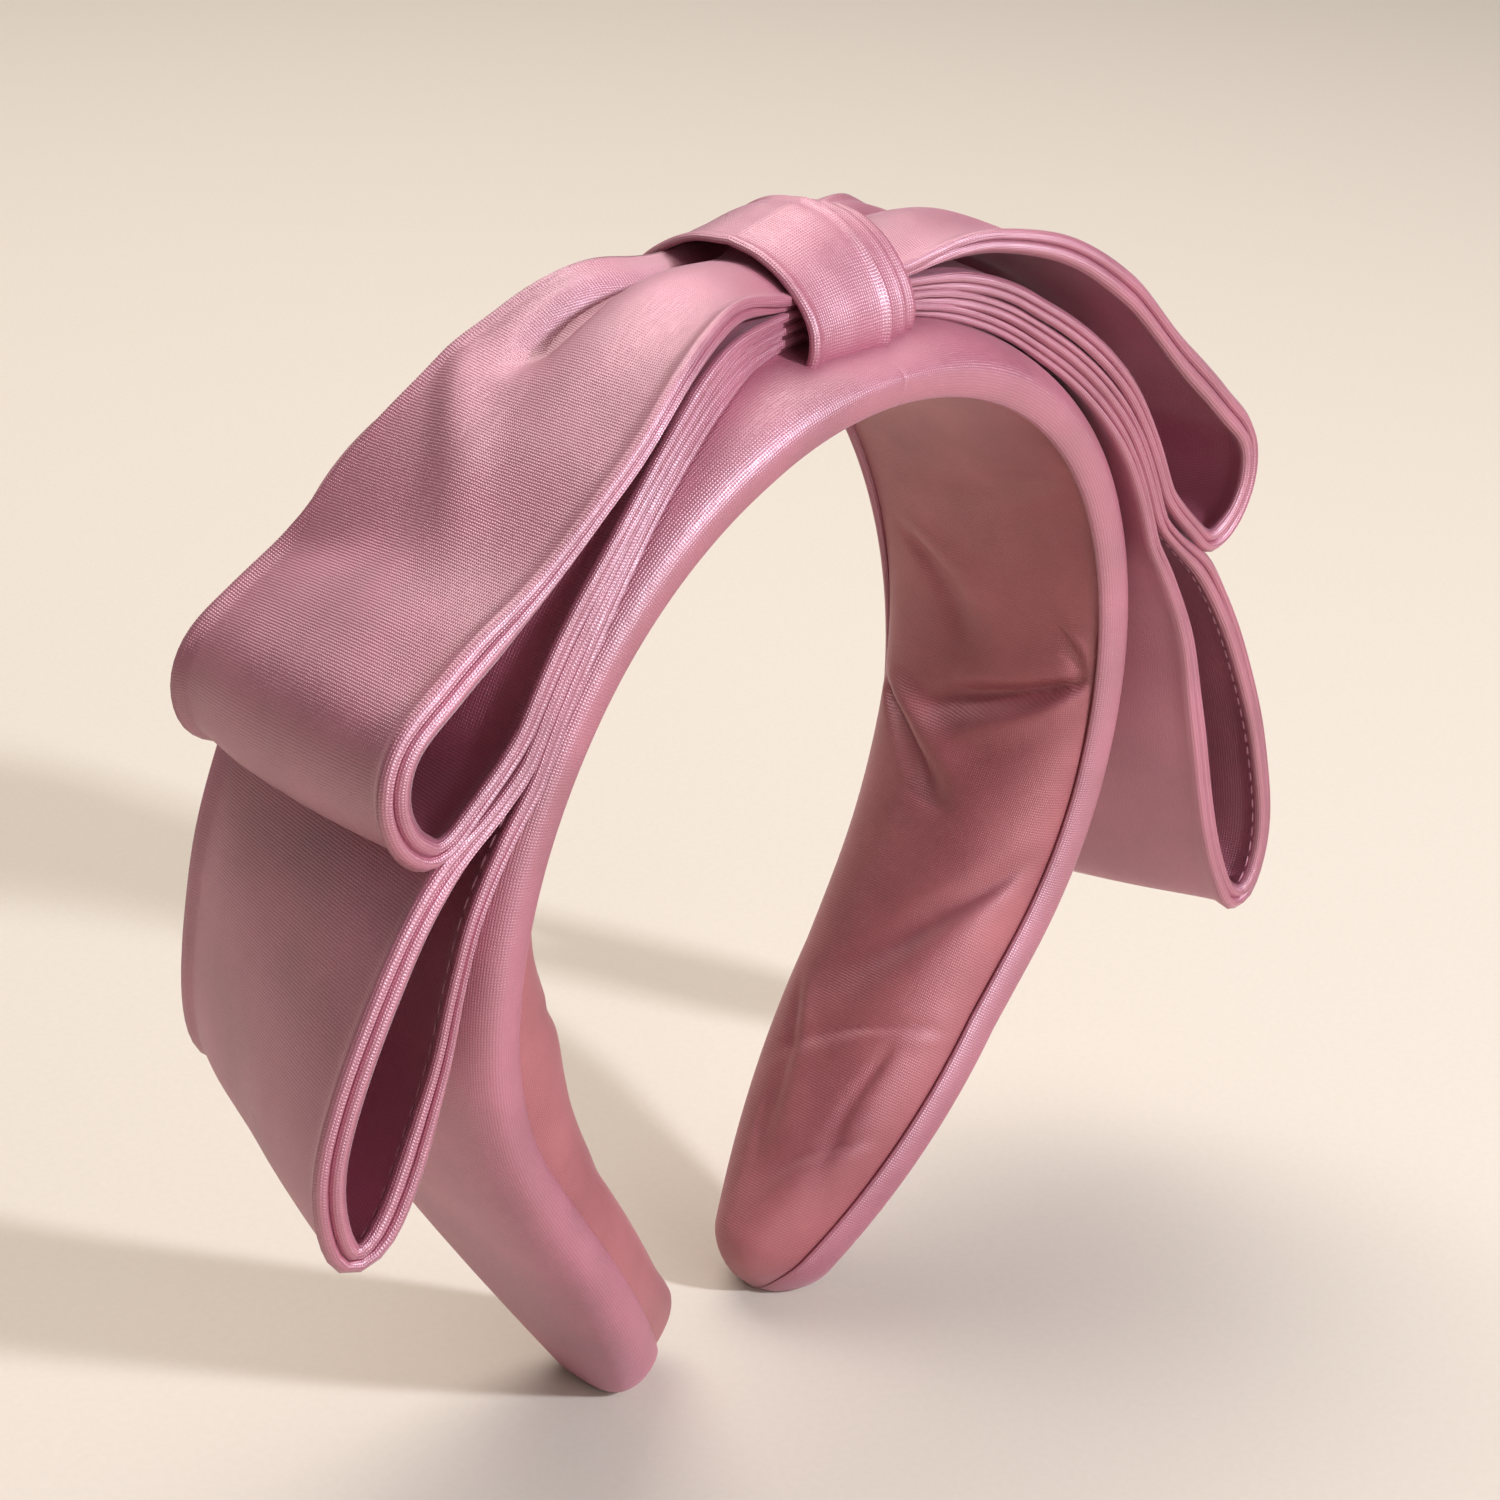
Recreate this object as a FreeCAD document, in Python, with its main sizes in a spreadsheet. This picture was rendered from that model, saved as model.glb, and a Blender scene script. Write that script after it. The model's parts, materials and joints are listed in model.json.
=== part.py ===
import FreeCAD, Part
import Sketcher
import math
import os

# A padded satin headband with a two-tier bow, standing on its tips. X runs across the head, Y from the
# front edge (-) to the back edge (+) and Z up. The origin is the centre of the circle that the crown of
# the band follows over the head. The right side is drawn, and the left side is its mirror image.

SIZES = {
    # The head side of the band: tangent arcs from the crown down to the tip, then a straight leg.
    "crown_bend": 55.0,
    "crown_turn": 60.0,
    "side_bend": 70.0,
    "side_turn": 36.0,
    "ankle_bend": 54.0,
    "ankle_turn": 29.0,
    "leg_length": 76.0,
    # The lining is puffed out towards the head: it stays on the crown's circle, and is rounded in at the tip.
    "puff_turn": 125.0,
    "puff_length": 62.0,
    "puff_tip_bend": 9.0,
    "puff_tip_turn": 62.0,
    # The band seen from the side: its width, and how it narrows to the tip.
    "crown_width": 50.0,
    "taper_top": 50.0,
    "leg_width": 34.0,
    "leg_top": -50.0,
    "tip_width": 10.0,
    "tip_level": -92.5,
    # The layers of the band, from the head outwards.
    "satin": 0.8,
    "inner_pad": 1.6,
    "core": 1.6,
    "foam": 4.6,
    "core_inset": 5.0,
    "hem_width": 3.0,
    "thread": 0.4,
    # Where the one-piece band is parted so that its arms can flex.
    "flex_angle": 12.4,
    "flex_gap": 0.25,
    "open_angle": 14.0,
    # The bow: two loops a side, each a folded ribbon of satin, interlining and facing.
    "ribbon_width": 49.0,
    "waist_width": 24.0,
    "fan_length": 55.0,
    "bow_start": 12.7,
    "interlining": 0.5,
    "layer_gap": 0.3,
    "upper_fold": 7.0,
    "upper_crest_bend": 60.0,
    "upper_heading": -8.0,
    "upper_droop": 34.0,
    "upper_split": 46.0,
    "lower_fold": 4.1,
    "lower_leave": 52.0,
    "lower_straight": 34.0,
    "lower_flare_bend": 80.0,
    "lower_flare_turn": 20.0,
    "lower_split": 4.0,
    # The knot that wraps the waist of the bow.
    "wrap_width": 22.0,
    "wrap_depth": 35.0,
    "wrap_height": 10.8,
    "wrap_corner": 4.6,
    "wrap_cloth": 1.0,
    "binding_width": 2.4,
    "binding_cloth": 0.5,
    "waist_length": 19.0,
    "waist_corner": 1.5,
    "tack_radius": 0.5,
    "tack_spacing": 8.0,
    "tack_length": 2.8,
}

# Half the size of the squares that trim a body to its outline, and how far the open outlines reach.
SQUARE_REACH = 150.0
OUTLINE_REACH = 120.0

doc = FreeCAD.newDocument("headband")
sheet = doc.addObject("Spreadsheet::Sheet", "sizes")
for row, (alias, number) in enumerate(SIZES.items(), start=1):
    sheet.set(f"A{row}", alias)
    sheet.set(f"B{row}", str(number))
    sheet.setAlias(f"B{row}", alias)
doc.recompute()


def value(expression):
    """The number that an expression in the sheet's cells gives."""
    return float(sheet.evalExpression(expression))


def size(alias):
    return value(f"sizes.{alias}")


# Distances from the head side of the band to the faces of its layers.
FACE = {
    "head": "0",
    "lining": "sizes.satin",
    "inner_pad": "sizes.satin + sizes.inner_pad",
    "core": "sizes.satin + sizes.inner_pad + sizes.core",
    "foam": "sizes.satin + sizes.inner_pad + sizes.core + sizes.foam",
    "cover": "2 * sizes.satin + sizes.inner_pad + sizes.core + sizes.foam",
}
PIVOT_HEIGHT = f"{FACE['inner_pad']} + sizes.core / 2"
RIBBON = "2 * sizes.satin + sizes.interlining"


def tier(number):
    """The height of the underside of one ribbon in the stack on the crown, counted from the band."""
    return f"{FACE['cover']} + {number + 1} * sizes.layer_gap + {number} * ({RIBBON})"


# ---- Chains of tangent arcs and straight lines ----

def heading_vector(heading):
    angle = math.radians(heading)
    return FreeCAD.Vector(math.cos(angle), math.sin(angle), 0)


def arc(centre, radius, first, last):
    circle = Part.Circle(centre, FreeCAD.Vector(0, 0, 1), radius)
    low, high = sorted((math.radians(first), math.radians(last)))
    return Part.ArcOfCircle(circle, low, high)


def line(start, end):
    return Part.LineSegment(start, end), ""


def trace(point, heading, bends, offset):
    """Edges of a chain moved to the left of its travel by offset, then its last point and heading.

    A bend is (radius expression, turn in degrees), with a turn to the left positive, or ("", length).
    An edge is its geometry and the expression of its radius, if it is an arc.
    """
    edges = []
    shift = value(offset)
    for radius, amount in bends:
        across = heading_vector(heading + 90)
        if not radius:
            end = point + heading_vector(heading) * amount
            edges.append(line(point + across * shift, end + across * shift))
            point = end
            continue
        side = 1 if amount > 0 else -1
        sign = "-" if side > 0 else "+"
        moved_radius = f"({radius}) {sign} ({offset})"
        centre = point + across * (side * value(radius))
        first = heading - 90 * side
        edges.append((arc(centre, value(moved_radius), first, first + amount), moved_radius))
        point = centre + heading_vector(first + amount) * value(radius)
        heading += amount
    return edges, point, heading


def on_circle(radius, angle):
    """A point on a circle about the origin, at an angle from the top towards +X."""
    return heading_vector(90 - angle) * radius


# ---- Document objects ----

def draw(body, name, plane_role, edges):
    """A sketch on an origin plane of the body, its arcs' radii bound to the sheet."""
    sketch = body.newObject("Sketcher::SketchObject", name)
    plane = [item for item in body.Origin.OriginFeatures if item.Role == plane_role][0]
    sketch.AttachmentSupport = [(plane, "")]
    sketch.MapMode = "FlatFace"
    for curve, radius in edges:
        index = sketch.addGeometry(curve, False)
        if radius:
            number = sketch.addConstraint(Sketcher.Constraint("Radius", index, curve.Radius))
            sketch.setExpression(f"Constraints[{number}]", radius)
    return sketch


def pad(body, sketch, length):
    feature = body.newObject("PartDesign::Pad", f"{body.Name}_pad")
    feature.Profile = sketch
    feature.SideType = "Symmetric"
    feature.setExpression("Length", length)
    return feature


def trim(body, sketch):
    """Cuts away what lies inside a sketch, right through the body both ways."""
    feature = body.newObject("PartDesign::Pocket", f"{body.Name}_trim")
    feature.Profile = sketch
    feature.SideType = "Symmetric"
    feature.Type = "ThroughAll"
    return feature


def polygon(points):
    return [line(start, end) for start, end in zip(points, points[1:] + points[:1])]


def new_body(name):
    body = doc.addObject("PartDesign::Body", name)
    body.Label = name
    return body


def cut(name, base, tool):
    feature = doc.addObject("Part::Cut", name)
    feature.Label = name
    feature.Base = base
    feature.Tool = tool
    return feature


def fuse(name, base, tool):
    feature = doc.addObject("Part::Fuse", name)
    feature.Label = name
    feature.Base = base
    feature.Tool = tool
    return feature


def band_outline(inset):
    """The band seen from the side, Y across and Z up, drawn in from its true outline by inset."""
    crown_half = size("crown_width") / 2 - inset
    leg_half = size("leg_width") / 2 - inset
    tip_half = size("tip_width") / 2 - inset / 2
    bottom = size("tip_level") + inset
    across = leg_half - tip_half
    drop = size("leg_top") - bottom
    radius = (across ** 2 + drop ** 2) / (2 * across)
    sweep = math.degrees(math.asin(drop / radius))
    edges = []
    for side in (1, -1):
        top = FreeCAD.Vector(side * crown_half, OUTLINE_REACH, 0)
        shoulder = FreeCAD.Vector(side * crown_half, size("taper_top"), 0)
        knee = FreeCAD.Vector(side * leg_half, size("leg_top"), 0)
        centre = knee - FreeCAD.Vector(side * radius, 0, 0)
        first, last = (0, -sweep) if side > 0 else (180, 180 + sweep)
        edges += [line(top, shoulder), line(shoulder, knee), (arc(centre, radius, first, last), "")]
    edges.append(line(FreeCAD.Vector(-tip_half, bottom, 0), FreeCAD.Vector(tip_half, bottom, 0)))
    edges.append(line(FreeCAD.Vector(crown_half, OUTLINE_REACH, 0),
                      FreeCAD.Vector(-crown_half, OUTLINE_REACH, 0)))
    return edges


def square(half):
    corners = [(-half, -half), (half, -half), (half, half), (-half, half)]
    return polygon([FreeCAD.Vector(across, up, 0) for across, up in corners])


def band_chain(start_angle):
    """The band's chain on the right, from an angle on the crown to the tip."""
    return [
        ("sizes.crown_bend", start_angle - size("crown_turn")),
        ("sizes.side_bend", -size("side_turn")),
        ("sizes.ankle_bend", -size("ankle_turn")),
        ("", size("leg_length")),
    ]


def puff_chain(start_angle):
    """The chain of the puffed lining on the right. It leaves the band's chain at the end of the crown."""
    return [
        ("sizes.crown_bend", start_angle - size("puff_turn")),
        ("", size("puff_length")),
        ("sizes.puff_tip_bend", size("puff_tip_turn")),
        ("", size("puff_tip_bend")),
    ]


def gap_angle(height):
    """How far past the flex line, in degrees, a layer of an arm starts so that the arm can open."""
    above_pivot = max(value(height) - value(PIVOT_HEIGHT), 0)
    gap = size("flex_gap") + above_pivot * math.tan(math.radians(size("open_angle")))
    return math.degrees(gap / size("crown_bend"))


def strip(name, span, inner, outer, inset, puffed=False):
    """A layer of the band between two heights above its head side, as a body trimmed to its outline.

    A puffed layer has its inner face on the chain of the puffed lining.
    """
    body = new_body(name)
    crown_end = size("flex_angle") - math.degrees(size("flex_gap") / size("crown_bend"))
    if span == "crown":
        start_angle = -crown_end
        low_bends = high_bends = [("sizes.crown_bend", -2 * crown_end)]
    else:
        start_angle = size("flex_angle") + gap_angle(outer)
        high_bends = band_chain(start_angle)
        low_bends = puff_chain(start_angle) if puffed else high_bends
    start = on_circle(size("crown_bend"), start_angle)
    low_edges, low_end, low_heading = trace(start, -start_angle, low_bends, inner)
    high_edges, high_end, high_heading = trace(start, -start_angle, high_bends, outer)
    start_across = heading_vector(90 - start_angle)
    low_end += heading_vector(low_heading + 90) * value(inner)
    high_end += heading_vector(high_heading + 90) * value(outer)
    edges = low_edges + high_edges
    edges.append(line(start + start_across * value(inner), start + start_across * value(outer)))
    edges.append(line(low_end, high_end))
    profile = draw(body, f"{name}_profile", "XZ_Plane", edges)
    pad(body, profile, "sizes.crown_width")
    outline = draw(body, f"{name}_outline", "YZ_Plane", square(SQUARE_REACH) + band_outline(inset))
    trim(body, outline)
    return body


def band_layers(span):
    """Every layer of one span of the band. The cover is a shell with turned hems round the lining.

    On an arm the lining is a bag that the inner pad fills out towards the head.
    """
    satin = size("satin")
    hem = size("hem_width")
    thread = size("thread")
    strip(f"{span}_core", span, FACE["inner_pad"], FACE["core"], size("core_inset"))
    strip(f"{span}_foam_pad", span, FACE["core"], FACE["foam"], satin)
    if span == "crown":
        strip(f"{span}_inner_pad", span, FACE["lining"], FACE["inner_pad"], satin)
        strip(f"{span}_lining", span, FACE["head"], FACE["lining"], hem + thread)
    else:
        flat_pad = strip(f"{span}_flat_pad", span, FACE["lining"], FACE["inner_pad"], satin)
        puff = strip(f"{span}_puff", span, FACE["lining"], FACE["inner_pad"], hem + thread + satin, True)
        bag = strip(f"{span}_lining_bag", span, FACE["head"], FACE["lining"], hem + thread, True)
        fuse(f"{span}_inner_pad", flat_pad, puff)
        cut(f"{span}_lining", bag, puff)
    outside = strip(f"{span}_cover_outside", span, FACE["head"], FACE["cover"], 0)
    inside = strip(f"{span}_cover_inside", span, FACE["lining"], FACE["foam"], satin)
    window = strip(f"{span}_cover_window", span, "-sizes.satin", FACE["inner_pad"], hem)
    shell = cut(f"{span}_cover_shell", outside, inside)
    cut(f"{span}_cover", shell, window)
    seam = strip(f"{span}_seam_outside", span, "sizes.thread / 2", "sizes.thread * 1.5", hem)
    middle = strip(f"{span}_seam_middle", span, "0", "sizes.satin", hem + thread)
    cut(f"{span}_seam_thread", seam, middle)


def loop_strands():
    """The outer and inner strand of each loop: start height, heading and bends, all on its outside."""
    start = size("bow_start")
    crown = size("crown_turn")
    return {
        "upper": {
            "fold": "sizes.upper_fold",
            "outer": (f"{tier(3)} + {RIBBON}", size("upper_heading"), [
                ("sizes.upper_crest_bend", -size("upper_droop") - size("upper_heading")),
            ]),
            "inner": (tier(2), -start, [
                (f"sizes.crown_bend + {tier(2)}", start - size("upper_split")),
            ]),
        },
        "lower": {
            "fold": "sizes.lower_fold",
            "outer": (f"{tier(1)} + {RIBBON}", -start, [
                (f"sizes.crown_bend + {tier(1)} + {RIBBON}", start - size("lower_leave")),
                ("", size("lower_straight")),
                ("sizes.lower_flare_bend", -size("lower_flare_turn")),
            ]),
            "inner": (tier(0), -start, [
                (f"sizes.crown_bend + {tier(0)}", start - crown),
                (f"sizes.side_bend + {tier(0)}", -size("lower_split")),
            ]),
        },
    }


def strand(definition, depth):
    """One strand's edges at a depth below the loop's outside, its first and last points and heading."""
    height, heading, bends = definition
    start = on_circle(size("crown_bend") + value(height), size("bow_start"))
    edges, end, last_heading = trace(start, heading, bends, depth)
    shift = value(depth)
    first = start + heading_vector(heading + 90) * shift
    last = end + heading_vector(last_heading + 90) * shift
    return edges, first, last, last_heading


def crossing(point_1, heading_1, point_2, heading_2):
    """Where two lines meet, each given by a point and a heading."""
    along_1 = heading_vector(heading_1)
    along_2 = heading_vector(heading_2)
    between = point_2 - point_1
    turn = along_1.cross(along_2).z
    return point_1 + along_1 * (between.cross(along_2).z / turn)


def fold_centre(loop):
    """The centre of the round fold that both strands run into."""
    radius = value(loop["fold"])
    outer_last, outer_heading = strand(loop["outer"], "0")[2:]
    inner_last, inner_heading = strand(loop["inner"], "0")[2:]
    outer_side = outer_last - heading_vector(outer_heading + 90) * radius
    inner_side = inner_last + heading_vector(inner_heading + 90) * radius
    return crossing(outer_side, outer_heading, inner_side, inner_heading)


def loop_line(loop, depth):
    """The loop's line at a depth below its outside: its edges and its two ends at the waist."""
    outer_edges, outer_first, outer_last, outer_heading = strand(loop["outer"], f"-({depth})")
    inner_edges, inner_first, inner_last, inner_heading = strand(loop["inner"], depth)
    centre = fold_centre(loop)
    radius = f"{loop['fold']} - ({depth})"
    outer_touch = centre + heading_vector(outer_heading + 90) * value(radius)
    inner_touch = centre + heading_vector(inner_heading - 90) * value(radius)
    fold = arc(centre, value(radius), inner_heading - 90, outer_heading + 90)
    edges = outer_edges + inner_edges + [(fold, radius)]
    edges.append(line(outer_last, outer_touch))
    edges.append(line(inner_last, inner_touch))
    return edges, outer_first, inner_first


def fan_outline():
    """The bow seen from above: gathered at the waist and as wide as the ribbon further out."""
    waist = size("waist_width") / 2
    full = size("ribbon_width") / 2
    start = size("crown_bend") * math.sin(math.radians(size("bow_start")))
    half = [(0, waist), (start, waist), (size("fan_length"), full), (OUTLINE_REACH, full)]
    outline = half + [(along, -across) for along, across in reversed(half)]
    return polygon([FreeCAD.Vector(along, across, 0) for along, across in outline])


def ribbon_layer(name, loop, top, bottom):
    """One cloth of a loop, between two depths below the loop's outside."""
    body = new_body(name)
    top_edges, top_outer, top_inner = loop_line(loop, top)
    bottom_edges, bottom_outer, bottom_inner = loop_line(loop, bottom)
    edges = top_edges + bottom_edges + [line(top_outer, bottom_outer), line(top_inner, bottom_inner)]
    pad(body, draw(body, f"{name}_profile", "XZ_Plane", edges), "sizes.ribbon_width")
    trim(body, draw(body, f"{name}_outline", "XY_Plane", square(SQUARE_REACH) + fan_outline()))
    return body


def rounded_rectangle(half_width, low, high, corner):
    """Edges of a rounded rectangle about the vertical axis. corner is its radius as an expression."""
    radius = value(corner)
    side = half_width - radius
    edges = []
    corners = [(side, high - radius, 0), (-side, high - radius, 90),
               (-side, low + radius, 180), (side, low + radius, 270)]
    for across, up, first in corners:
        edges.append((arc(FreeCAD.Vector(across, up, 0), radius, first, first + 90), corner))
    edges.append(line(FreeCAD.Vector(-side, high, 0), FreeCAD.Vector(side, high, 0)))
    edges.append(line(FreeCAD.Vector(-side, low, 0), FreeCAD.Vector(side, low, 0)))
    for edge in (half_width, -half_width):
        edges.append(line(FreeCAD.Vector(edge, low + radius, 0), FreeCAD.Vector(edge, high - radius, 0)))
    return edges


def knot_ring(name, inset, cloth, length):
    """A band of cloth or thread round the waist, set in from the outside of the knot."""
    body = new_body(name)
    low = value(KNOT_BASE)
    edges = []
    for depth in (inset, f"{inset} + {cloth}"):
        shift = value(depth)
        edges += rounded_rectangle(size("wrap_depth") / 2 - shift, low + shift,
                                   low + size("wrap_height") - shift, f"sizes.wrap_corner - ({depth})")
    pad(body, draw(body, f"{name}_profile", "YZ_Plane", edges), length)


def waist_fold(name, low, high):
    """The gathered middle of one ribbon, inside the knot and clear of the binding's corners."""
    body = new_body(name)
    half_width = size("wrap_depth") / 2 - value(WAIST_INSET) - size("waist_corner")
    edges = rounded_rectangle(half_width, low, high, "sizes.waist_corner")
    pad(body, draw(body, f"{name}_profile", "YZ_Plane", edges), "sizes.waist_length")


def knot():
    """The wrap, the binding under it, the gathered ribbons inside and the tacks that hold the bow."""
    knot_ring("knot_wrap", "0", "sizes.wrap_cloth", "sizes.wrap_width")
    knot_ring("waist_binding", BINDING_INSET, "sizes.binding_cloth", "sizes.binding_width")
    low = value(f"{KNOT_BASE} + {WAIST_INSET}")
    high = value(f"{KNOT_BASE} + sizes.wrap_height - ({WAIST_INSET})")
    middle = (low + high) / 2
    gap = size("thread") / 4
    waist_fold("lower_bow_waist", low, middle - gap)
    waist_fold("upper_bow_waist", middle + gap, high)
    stitches = []
    for along in (-1, 1):
        for across in (-1, 1):
            stitch = doc.addObject("Part::Cylinder", f"tack_{len(stitches) + 1}")
            stitch.setExpression("Radius", "sizes.tack_radius")
            stitch.setExpression("Height", "sizes.tack_length")
            stitch.setExpression("Placement.Base.x", f"{along} * sizes.tack_spacing / 2")
            stitch.setExpression("Placement.Base.y", f"{across} * sizes.tack_spacing")
            stitch.setExpression("Placement.Base.z", f"sizes.crown_bend + {FACE['foam']} - sizes.thread")
            stitches.append(stitch)
    tacks = doc.addObject("Part::Compound", "bow_tacks")
    tacks.Label = "bow_tacks"
    tacks.Links = stitches


def mirror_to_left(name):
    right = doc.getObject(name)
    left_name = name.replace("right_", "left_", 1)
    left = doc.addObject("Part::Mirroring", left_name)
    left.Label = left_name
    left.Source = right
    left.Normal = FreeCAD.Vector(1, 0, 0)
    return left_name


KNOT_BASE = f"sizes.crown_bend + {tier(0)}"
BINDING_INSET = "sizes.wrap_cloth + sizes.thread / 4"
WAIST_INSET = f"{BINDING_INSET} + sizes.binding_cloth + sizes.thread / 4"
LAYERS = ["core", "inner_pad", "foam_pad", "lining", "cover", "seam_thread"]
CLOTHS = {
    "satin": ("0", "sizes.satin"),
    "interlining": ("sizes.satin", "sizes.satin + sizes.interlining"),
    "facing": ("sizes.satin + sizes.interlining", RIBBON),
}

band_layers("crown")
band_layers("right_arm")
knot()
right_nodes = [f"right_arm_{layer}" for layer in LAYERS]
for tier_name, loop in loop_strands().items():
    for cloth, (top, bottom) in CLOTHS.items():
        right_nodes.append(f"right_{tier_name}_loop_{cloth}")
        ribbon_layer(right_nodes[-1], loop, top, bottom)
left_nodes = [mirror_to_left(name) for name in right_nodes]
crown_nodes = [f"crown_{layer}" for layer in LAYERS]
crown_nodes += ["knot_wrap", "upper_bow_waist", "lower_bow_waist", "waist_binding", "bow_tacks"]
doc.recompute()

# ---- Checks, then one file for each piece ----

for item in doc.Objects:
    if "Invalid" in item.State or "Error" in item.State:
        raise RuntimeError(f"{item.Name} failed: {item.State}")

os.makedirs("parts", exist_ok=True)
for name in crown_nodes + right_nodes + left_nodes:
    shape = doc.getObject(name).Shape
    if shape.isNull() or not shape.isValid() or not shape.Solids:
        raise RuntimeError(f"{name} has no valid solid")
    shape.exportStep(f"parts/{name}.step")
    box = shape.BoundBox
    print(f"{name}: {len(shape.Solids)} solid(s), {shape.Volume:.0f} mm3, "
          f"x {box.XMin:.1f} to {box.XMax:.1f}, z {box.ZMin:.1f} to {box.ZMax:.1f}")

pivot = on_circle(value(f"sizes.crown_bend + {PIVOT_HEIGHT}"), size("flex_angle"))
print(f"flex pivots at x = +-{pivot.x:.3f}, z = {pivot.y:.3f}")
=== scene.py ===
import json
import math

import bpy
import numpy as np
from mathutils import Matrix, Vector, noise


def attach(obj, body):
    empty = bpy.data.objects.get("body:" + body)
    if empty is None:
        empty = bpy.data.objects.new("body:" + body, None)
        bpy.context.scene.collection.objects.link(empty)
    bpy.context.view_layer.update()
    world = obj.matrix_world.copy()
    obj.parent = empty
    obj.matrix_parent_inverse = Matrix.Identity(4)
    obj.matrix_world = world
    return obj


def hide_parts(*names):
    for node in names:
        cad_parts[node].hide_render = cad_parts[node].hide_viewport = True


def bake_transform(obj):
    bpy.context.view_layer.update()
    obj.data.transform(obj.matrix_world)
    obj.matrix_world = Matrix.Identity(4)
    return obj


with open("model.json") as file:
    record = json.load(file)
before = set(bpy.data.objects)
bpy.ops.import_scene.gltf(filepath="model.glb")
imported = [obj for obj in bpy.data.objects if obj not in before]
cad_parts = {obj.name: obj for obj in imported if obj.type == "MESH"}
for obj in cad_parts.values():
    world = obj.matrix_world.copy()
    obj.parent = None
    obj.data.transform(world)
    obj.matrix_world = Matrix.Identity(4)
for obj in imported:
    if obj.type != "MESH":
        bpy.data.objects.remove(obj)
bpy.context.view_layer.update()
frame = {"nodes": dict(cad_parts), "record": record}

# Shapes are in millimetres in the frame, and become metres as their meshes are made. Materials, and the
# distances and sizes of lights, are in metres. X runs across the head, Y from the front edge to the back
# edge and Z up. Shapes are drawn on the right (+X) side and mirrored for the left. RISE is the height of
# the head side of the crown above the origin.

MM = 0.001
MOUNTS = {mount["name"]: mount for mount in frame["record"]["mounts"]}
RISE = MOUNTS["head_grip"]["dims"]["r_mm"]
FLOOR = MOUNTS["right_tip_rest"]["pos_m"][2] / MM
SIDES = {"right": 1, "left": -1}

# The band: tangent bends (radius, degrees) from the crown down, then a straight leg.
BAND_BENDS = ((RISE, 60.0), (70.0, 36.0), (54.0, 29.0))
LINING_BENDS = ((RISE, 125.0),)
LEG = 76.0
LINING_LEG = 72.0
CROWN_HALF, LEG_HALF, TIP_HALF = 25.0, 17.0, 5.0
TAPER_TOP, LEG_TOP = 50.0, -50.0
THICKNESS = 9.4
WIDEST_LEVEL = 3.9
CROWNING = 3.2
SEAM_IN = 1.8
SEAM_DEPTH = 1.7
TIP_CLEAR = 1.7
TIP_ROUND = 7.0
KNOT_PINCH = 0.45


# ---- Curves ----

def smooth_curve(points, count):
    """A Catmull-Rom curve through the points, as count samples at even steps of its length."""
    points = np.asarray(points, float)
    ends = np.vstack([2 * points[0] - points[1], points, 2 * points[-1] - points[-2]])
    dense = []
    for before, start, end, after in zip(ends, ends[1:], ends[2:], ends[3:]):
        for t in np.linspace(0, 1, 16, endpoint=False):
            dense.append(0.5 * (2 * start + (end - before) * t
                                + (2 * before - 5 * start + 4 * end - after) * t ** 2
                                + (3 * start - before - 3 * end + after) * t ** 3))
    dense = np.array(dense + [points[-1]])
    along = lengths(dense)
    wanted = np.linspace(0, along[-1], count)
    return np.stack([np.interp(wanted, along, column) for column in dense.T], axis=1)


def lengths(points):
    steps = np.linalg.norm(np.diff(points, axis=0), axis=1)
    return np.concatenate([[0], np.cumsum(steps)])


def bent_line(bends, tail, step=0.25):
    """Points and outward normals, in X and Z, of tangent right-hand bends from the top, and a tail."""
    point = np.array([0.0, RISE])
    heading = 0.0
    points, headings = [point], [0.0]
    for radius, turn in bends:
        arc = math.radians(turn) * radius
        for _ in range(int(arc / step)):
            heading -= arc / int(arc / step) / radius
            point = point + arc / int(arc / step) * np.array([math.cos(heading), math.sin(heading)])
            points.append(point)
            headings.append(heading)
    for _ in range(int(tail / step)):
        point = point + step * np.array([math.cos(heading), math.sin(heading)])
        points.append(point)
        headings.append(heading)
    headings = np.array(headings)
    return np.array(points), np.stack([-np.sin(headings), np.cos(headings)], axis=1)


def ramp(value, low, high):
    """0 below low, 1 above high and smooth in between."""
    t = np.clip((np.asarray(value, float) - low) / (high - low), 0, 1)
    return t * t * (3 - 2 * t)


def bump(value, centre, width):
    return np.exp(-((np.asarray(value, float) - centre) / width) ** 2)


def power(value, exponent):
    return np.sign(value) * np.abs(value) ** exponent


BAND, BAND_OUT = bent_line(BAND_BENDS, LEG)
BAND_ALONG = lengths(BAND)
LINING, _ = bent_line(LINING_BENDS, LINING_LEG)


def on_band(along):
    """The point and the outward normal of the band's head side at distances along it."""
    point = np.stack([np.interp(along, BAND_ALONG, column) for column in BAND.T], axis=-1)
    out = np.stack([np.interp(along, BAND_ALONG, column) for column in BAND_OUT.T], axis=-1)
    return point, out


def half_width(height):
    """Half the band's width where its head side is at this height."""
    narrowed = np.clip((TAPER_TOP - height) / (TAPER_TOP - LEG_TOP), 0, 1)
    taper = CROWN_HALF + (LEG_HALF - CROWN_HALF) * narrowed
    across, drop = LEG_HALF - TIP_HALF, LEG_TOP - FLOOR
    radius = (across ** 2 + drop ** 2) / (2 * across)
    below = np.clip(LEG_TOP - height, 0, drop)
    return np.where(height > LEG_TOP, taper, LEG_HALF - radius + np.sqrt(radius ** 2 - below ** 2))


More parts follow.
